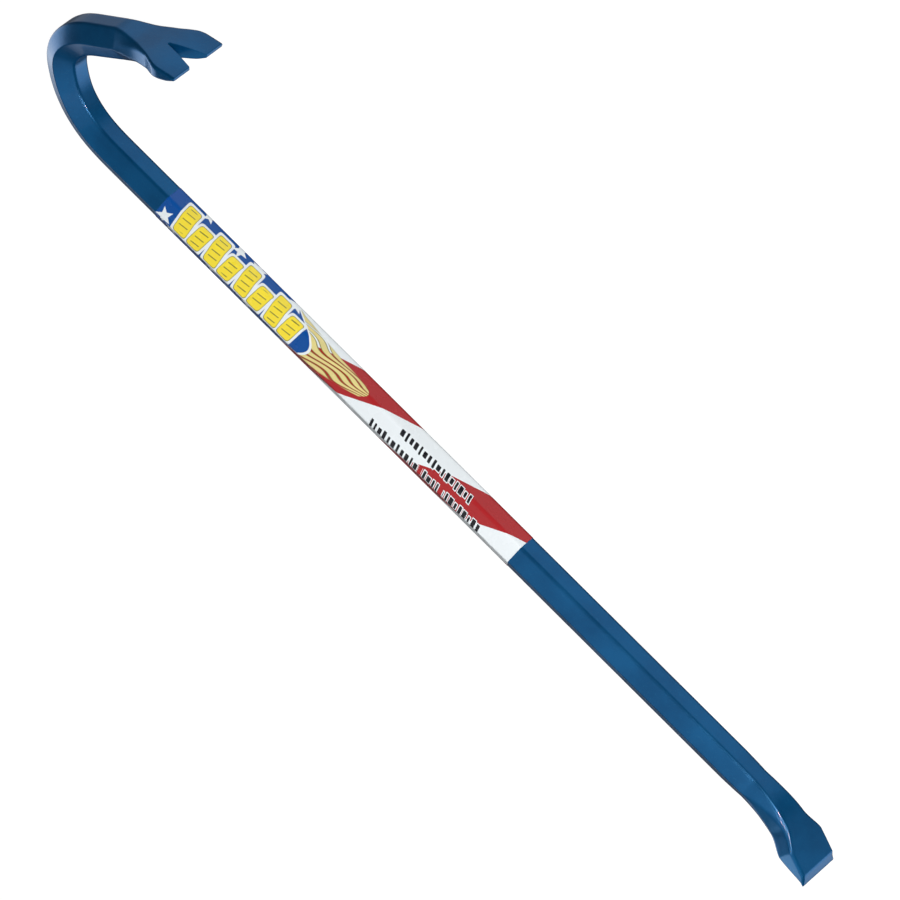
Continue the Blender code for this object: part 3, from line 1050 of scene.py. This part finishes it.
def make_lights():
    add_light(*KEY_LIGHT, glossy=False)
    add_light(*CEILING_CARD)
    add_light(*SIDE_CARD, colour=SIDE_CARD_COLOUR)
    for lamp in GLINT_LAMPS:
        add_light(*lamp, diffuse=False, colour=GLINT_COLOUR)


def low_patches(nodes, x, y):
    """The glow of the bright patches low in the studio, by bearing."""
    bearing = nodes.maths("ARCTAN2", x, y)
    patches = None
    for middle, half, glow in TABLE_PATCHES:
        off = nodes.size(nodes.minus(bearing, radians(middle)))
        rim = radians(half + PATCH_SOFTNESS)
        core = radians(half - PATCH_SOFTNESS)
        patch = nodes.ramp(off, rim, core, 0.0, glow)
        patches = patch if patches is None else nodes.plus(patches, patch)
    return patches


def studio_glow(nodes):
    """How bright the studio is in each direction."""
    way = nodes.add("ShaderNodeTexCoord").outputs["Generated"]
    parts = nodes.add("ShaderNodeSeparateXYZ")
    nodes.feed(parts.inputs[0], way)
    x, y, z = parts.outputs
    low = nodes.both(nodes.ramp(z, *TABLE_EDGE), nodes.ramp(z, *TABLE_FOOT), low_patches(nodes, x, y))
    ceiling = nodes.times(nodes.ramp(z, *CEILING_EDGE), CEILING_GLOW)
    light = nodes.plus(nodes.plus(low, ceiling), ROOM_GLOW)
    for toward, rim, core, glow in WALLS:
        facing = nodes.add("ShaderNodeVectorMath", operation="DOT_PRODUCT")
        nodes.feed(facing.inputs[0], way)
        facing.inputs[1].default_value = toward
        light = nodes.plus(light, nodes.ramp(facing.outputs["Value"], rim, core, 0.0, glow))
    return light


def make_world():
    """A studio that is white where it is seen. It lights the bar from bright patches low around it, a dim
    ceiling and soft pale walls, and leaves the rest dark.
    """
    world = bpy.data.worlds.new("studio")
    bpy.context.scene.world = world
    world.use_nodes = True
    nodes = Nodes(world.node_tree)
    sky = world.node_tree.nodes["Background"]
    sky.inputs["Color"].default_value = SKY_COLOUR
    nodes.feed(sky.inputs["Strength"], studio_glow(nodes))
    seen = nodes.add("ShaderNodeBackground")
    seen.inputs["Strength"].default_value = 1.0
    seen.inputs["Color"].default_value = WHITE
    swap = nodes.add("ShaderNodeMixShader")
    nodes.feed(swap.inputs[0], nodes.add("ShaderNodeLightPath").outputs["Is Camera Ray"])
    nodes.feed(swap.inputs[1], sky.outputs[0])
    nodes.feed(swap.inputs[2], seen.outputs[0])
    nodes.feed(world.node_tree.nodes["World Output"].inputs["Surface"], swap.outputs[0])


def make_camera(shift):
    """Looks down at the shaft from the +Y side, with the bar turned to run across the frame."""
    azimuth, elevation, roll = (radians(angle) for angle in CAMERA_ANGLES)
    back = Vector((sin(azimuth) * cos(elevation), -cos(azimuth) * cos(elevation), sin(elevation)))
    level = Vector((cos(azimuth), sin(azimuth), 0))
    up = back.cross(level)
    right = level * cos(roll) + up * sin(roll)
    over = -level * sin(roll) + up * cos(roll)
    data = bpy.data.cameras.new("camera")
    data.sensor_width = CAMERA_SENSOR
    data.lens = CAMERA_LENS
    data.shift_x, data.shift_y = CAMERA_SHIFT
    data.clip_end = CAMERA_FAR
    made = bpy.data.objects.new("camera", data)
    target = Vector((CAMERA_AIM, shift.y, shift.z))
    rotation = Matrix((right, over, back)).transposed().to_4x4()
    made.matrix_world = Matrix.Translation(target + back * CAMERA_DISTANCE) @ rotation
    bpy.context.scene.collection.objects.link(made)
    bpy.context.scene.camera = made


def main():
    bar, shift = make_bar(blue_paint())
    label = make_label(label_film(), shift)
    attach(bar, "root")
    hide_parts("forged_bar")
    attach(label, "root")
    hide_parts("label_wrap")
    make_floor()
    make_world()
    make_lights()
    make_camera(shift)
    bpy.context.scene.view_settings.view_transform = "Standard"


main()
